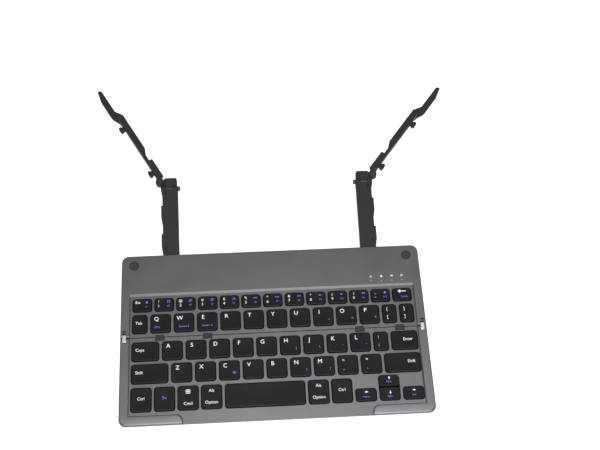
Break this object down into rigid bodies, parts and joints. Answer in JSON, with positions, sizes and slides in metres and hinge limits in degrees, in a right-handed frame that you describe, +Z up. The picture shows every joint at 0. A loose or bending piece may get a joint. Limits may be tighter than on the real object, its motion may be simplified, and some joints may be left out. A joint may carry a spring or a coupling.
{
  "type": "folding keyboard",
  "caption": "Pocket wireless keyboard that folds shut along a double-axis hinge, with jointed stand arms that swing out from under its rear half to prop a tablet",
  "frame": {"origin": "centre of the underside of the foot strip under the rear half, on the desk", "axes": "+X to the typist's right, +Y away from the typist, +Z up"},
  "size_m": [0.3005, 0.3086, 0.0115],
  "materials": {
    "metallic_casing": "fine metallic grey paint, satin",
    "key_plastic": "satin black keycap plastic",
    "arm_plastic": "matte black glass-filled plastic",
    "bright_steel": "bright satin steel",
    "black_rubber": "matte rubber",
    "silicone_mat": "translucent silicone",
    "circuit_board": "green solder mask",
    "clear_lens": "clear moulded light guide",
    "battery_foil": "foil pouch",
    "dark_plastic": "dark satin plastic"
  },
  "bodies": {
    "rear_half": {"rear_top_cover": "metallic_casing", "rear_bottom_cover": "metallic_casing", "rear_dome_mat": "silicone_mat", "rear_circuit_board": "circuit_board", "indicator_board": "circuit_board", "indicator_lenses": "clear_lens", "charging_port": "bright_steel", "closing_pads": "black_rubber", "seam_tabs": "dark_plastic", "rear_hinge_pins": "bright_steel", "arm_pivot_pins": "bright_steel", "rear_screws": "bright_steel", "rear_foot_strip": "black_rubber"},
    "link_pair": {"hinge_links": "bright_steel"},
    "front_half": {"front_top_cover": "metallic_casing", "front_bottom_cover": "metallic_casing", "front_dome_mat": "silicone_mat", "front_circuit_board": "circuit_board", "battery": "battery_foil", "front_hinge_pins": "bright_steel", "front_screws": "bright_steel", "front_feet": "black_rubber"},
    "power_switch": {"power_switch_knob": "dark_plastic"},
    "left_rail_arm": {"left_rail": "arm_plastic", "left_rail_foot": "black_rubber", "left_tilt_pin": "bright_steel"},
    "left_knuckle_block": {"left_knuckle": "arm_plastic", "left_fold_pin": "bright_steel"},
    "left_blade_arm": {"left_blade": "arm_plastic"},
    "right_rail_arm": {"right_rail": "arm_plastic", "right_rail_foot": "black_rubber", "right_tilt_pin": "bright_steel"},
    "right_knuckle_block": {"right_knuckle": "arm_plastic", "right_fold_pin": "bright_steel"},
    "right_blade_arm": {"right_blade": "arm_plastic"},
    "esc_button": {"esc_key": "key_plastic"},
    "number_group": {"number_keys": "key_plastic"},
    "backspace_button": {"backspace_key": "key_plastic"},
    "tab_button": {"tab_key": "key_plastic"},
    "q_row_group": {"q_row_keys": "key_plastic"},
    "left_bracket_button": {"left_bracket_key": "key_plastic"},
    "right_bracket_button": {"right_bracket_key": "key_plastic"},
    "caps_button": {"caps_key": "key_plastic"},
    "a_row_group": {"a_row_keys": "key_plastic"},
    "semicolon_button": {"semicolon_key": "key_plastic"},
    "enter_button": {"enter_key": "key_plastic"},
    "left_shift_button": {"left_shift_key": "key_plastic"},
    "z_row_group": {"z_row_keys": "key_plastic"},
    "right_shift_button": {"right_shift_key": "key_plastic"},
    "left_ctrl_button": {"left_ctrl_key": "key_plastic"},
    "fn_button": {"fn_key": "key_plastic"},
    "command_button": {"command_key": "key_plastic"},
    "left_alt_button": {"left_alt_key": "key_plastic"},
    "space_button": {"space_key": "key_plastic"},
    "right_alt_button": {"right_alt_key": "key_plastic"},
    "right_ctrl_button": {"right_ctrl_key": "key_plastic"},
    "left_arrow_button": {"left_arrow_key": "key_plastic"},
    "up_arrow_button": {"up_arrow_key": "key_plastic"},
    "down_arrow_button": {"down_arrow_key": "key_plastic"},
    "right_arrow_button": {"right_arrow_key": "key_plastic"}
  },
  "joints": [
    {"name": "link_fold", "type": "hinge", "parent": "rear_half", "child": "link_pair", "pos_m": [0, -0.0065, 0.009], "axis": [-1, 0, 0], "range_deg": [0, 90]},
    {"name": "front_fold", "type": "hinge", "parent": "link_pair", "child": "front_half", "pos_m": [0, -0.0115, 0.009], "axis": [-1, 0, 0], "range_deg": [0, 90]},
    {"name": "power_slide", "type": "slide", "parent": "rear_half", "child": "power_switch", "axis": [0, 1, 0], "range_m": [0, 0.002]},
    {"name": "left_swing", "type": "hinge", "parent": "rear_half", "child": "left_rail_arm", "pos_m": [-0.084, 0.0522, 0.0043], "axis": [0, 0, -1], "range_deg": [0, 91]},
    {"name": "left_tilt", "type": "hinge", "parent": "left_rail_arm", "child": "left_knuckle_block", "pos_m": [-0.08528, 0.12579, 0.0043], "axis": [-0.9998, -0.0175, 0], "range_deg": [-95, 0]},
    {"name": "left_fold", "type": "hinge", "parent": "left_knuckle_block", "child": "left_blade_arm", "pos_m": [-0.089, 0.13223, 0.0043], "axis": [0, 0, 1], "range_deg": [-28, 152]},
    {"name": "right_swing", "type": "hinge", "parent": "rear_half", "child": "right_rail_arm", "pos_m": [0.084, 0.0522, 0.0043], "axis": [0, 0, 1], "range_deg": [0, 91]},
    {"name": "right_tilt", "type": "hinge", "parent": "right_rail_arm", "child": "right_knuckle_block", "pos_m": [0.08528, 0.12579, 0.0043], "axis": [-0.9998, 0.0175, 0], "range_deg": [-95, 0]},
    {"name": "right_fold", "type": "hinge", "parent": "right_knuckle_block", "child": "right_blade_arm", "pos_m": [0.089, 0.13223, 0.0043], "axis": [0, 0, -1], "range_deg": [-36, 144]},
    {"name": "esc_press", "type": "slide", "parent": "rear_half", "child": "esc_button", "axis": [0, 0, -1], "range_m": [0, 0.0012], "stiffness_N_per_m": 120, "springref_m": -0.0006},
    {"name": "number_press", "type": "slide", "parent": "rear_half", "child": "number_group", "axis": [0, 0, -1], "range_m": [0, 0.0012], "stiffness_N_per_m": 480, "springref_m": -0.0006},
    {"name": "backspace_press", "type": "slide", "parent": "rear_half", "child": "backspace_button", "axis": [0, 0, -1], "range_m": [0, 0.0012], "stiffness_N_per_m": 120, "springref_m": -0.0006},
    {"name": "tab_press", "type": "slide", "parent": "rear_half", "child": "tab_button", "axis": [0, 0, -1], "range_m": [0, 0.0012], "stiffness_N_per_m": 120, "springref_m": -0.0006},
    {"name": "q_row_press", "type": "slide", "parent": "rear_half", "child": "q_row_group", "axis": [0, 0, -1], "range_m": [0, 0.0012], "stiffness_N_per_m": 480, "springref_m": -0.0006},
    {"name": "left_bracket_press", "type": "slide", "parent": "rear_half", "child": "left_bracket_button", "axis": [0, 0, -1], "range_m": [0, 0.0012], "stiffness_N_per_m": 120, "springref_m": -0.0006},
    {"name": "right_bracket_press", "type": "slide", "parent": "rear_half", "child": "right_bracket_button", "axis": [0, 0, -1], "range_m": [0, 0.0012], "stiffness_N_per_m": 120, "springref_m": -0.0006},
    {"name": "caps_press", "type": "slide", "parent": "front_half", "child": "caps_button", "axis": [0, 0, -1], "range_m": [0, 0.0012], "stiffness_N_per_m": 120, "springref_m": -0.0006},
    {"name": "a_row_press", "type": "slide", "parent": "front_half", "child": "a_row_group", "axis": [0, 0, -1], "range_m": [0, 0.0012], "stiffness_N_per_m": 480, "springref_m": -0.0006},
    {"name": "semicolon_press", "type": "slide", "parent": "front_half", "child": "semicolon_button", "axis": [0, 0, -1], "range_m": [0, 0.0012], "stiffness_N_per_m": 120, "springref_m": -0.0006},
    {"name": "enter_press", "type": "slide", "parent": "front_half", "child": "enter_button", "axis": [0, 0, -1], "range_m": [0, 0.0012], "stiffness_N_per_m": 120, "springref_m": -0.0006},
    {"name": "left_shift_press", "type": "slide", "parent": "front_half", "child": "left_shift_button", "axis": [0, 0, -1], "range_m": [0, 0.0012], "stiffness_N_per_m": 120, "springref_m": -0.0006},
    {"name": "z_row_press", "type": "slide", "parent": "front_half", "child": "z_row_group", "axis": [0, 0, -1], "range_m": [0, 0.0012], "stiffness_N_per_m": 480, "springref_m": -0.0006},
    {"name": "right_shift_press", "type": "slide", "parent": "front_half", "child": "right_shift_button", "axis": [0, 0, -1], "range_m": [0, 0.0012], "stiffness_N_per_m": 120, "springref_m": -0.0006},
    {"name": "left_ctrl_press", "type": "slide", "parent": "front_half", "child": "left_ctrl_button", "axis": [0, 0, -1], "range_m": [0, 0.0012], "stiffness_N_per_m": 120, "springref_m": -0.0006},
    {"name": "fn_press", "type": "slide", "parent": "front_half", "child": "fn_button", "axis": [0, 0, -1], "range_m": [0, 0.0012], "stiffness_N_per_m": 120, "springref_m": -0.0006},
    {"name": "command_press", "type": "slide", "parent": "front_half", "child": "command_button", "axis": [0, 0, -1], "range_m": [0, 0.0012], "stiffness_N_per_m": 120, "springref_m": -0.0006},
    {"name": "left_alt_press", "type": "slide", "parent": "front_half", "child": "left_alt_button", "axis": [0, 0, -1], "range_m": [0, 0.0012], "stiffness_N_per_m": 120, "springref_m": -0.0006},
    {"name": "space_press", "type": "slide", "parent": "front_half", "child": "space_button", "axis": [0, 0, -1], "range_m": [0, 0.0012], "stiffness_N_per_m": 360, "springref_m": -0.0006},
    {"name": "right_alt_press", "type": "slide", "parent": "front_half", "child": "right_alt_button", "axis": [0, 0, -1], "range_m": [0, 0.0012], "stiffness_N_per_m": 120, "springref_m": -0.0006},
    {"name": "right_ctrl_press", "type": "slide", "parent": "front_half", "child": "right_ctrl_button", "axis": [0, 0, -1], "range_m": [0, 0.0012], "stiffness_N_per_m": 120, "springref_m": -0.0006},
    {"name": "left_arrow_press", "type": "slide", "parent": "front_half", "child": "left_arrow_button", "axis": [0, 0, -1], "range_m": [0, 0.0012], "stiffness_N_per_m": 120, "springref_m": -0.0006},
    {"name": "up_arrow_press", "type": "slide", "parent": "front_half", "child": "up_arrow_button", "axis": [0, 0, -1], "range_m": [0, 0.0012], "stiffness_N_per_m": 120, "springref_m": -0.0006},
    {"name": "down_arrow_press", "type": "slide", "parent": "front_half", "child": "down_arrow_button", "axis": [0, 0, -1], "range_m": [0, 0.0012], "stiffness_N_per_m": 120, "springref_m": -0.0006},
    {"name": "right_arrow_press", "type": "slide", "parent": "front_half", "child": "right_arrow_button", "axis": [0, 0, -1], "range_m": [0, 0.0012], "stiffness_N_per_m": 120, "springref_m": -0.0006}
  ],
  "couplings": [
    {"joint": "link_fold", "follows": "front_fold", "ratio": 1}
  ]
}
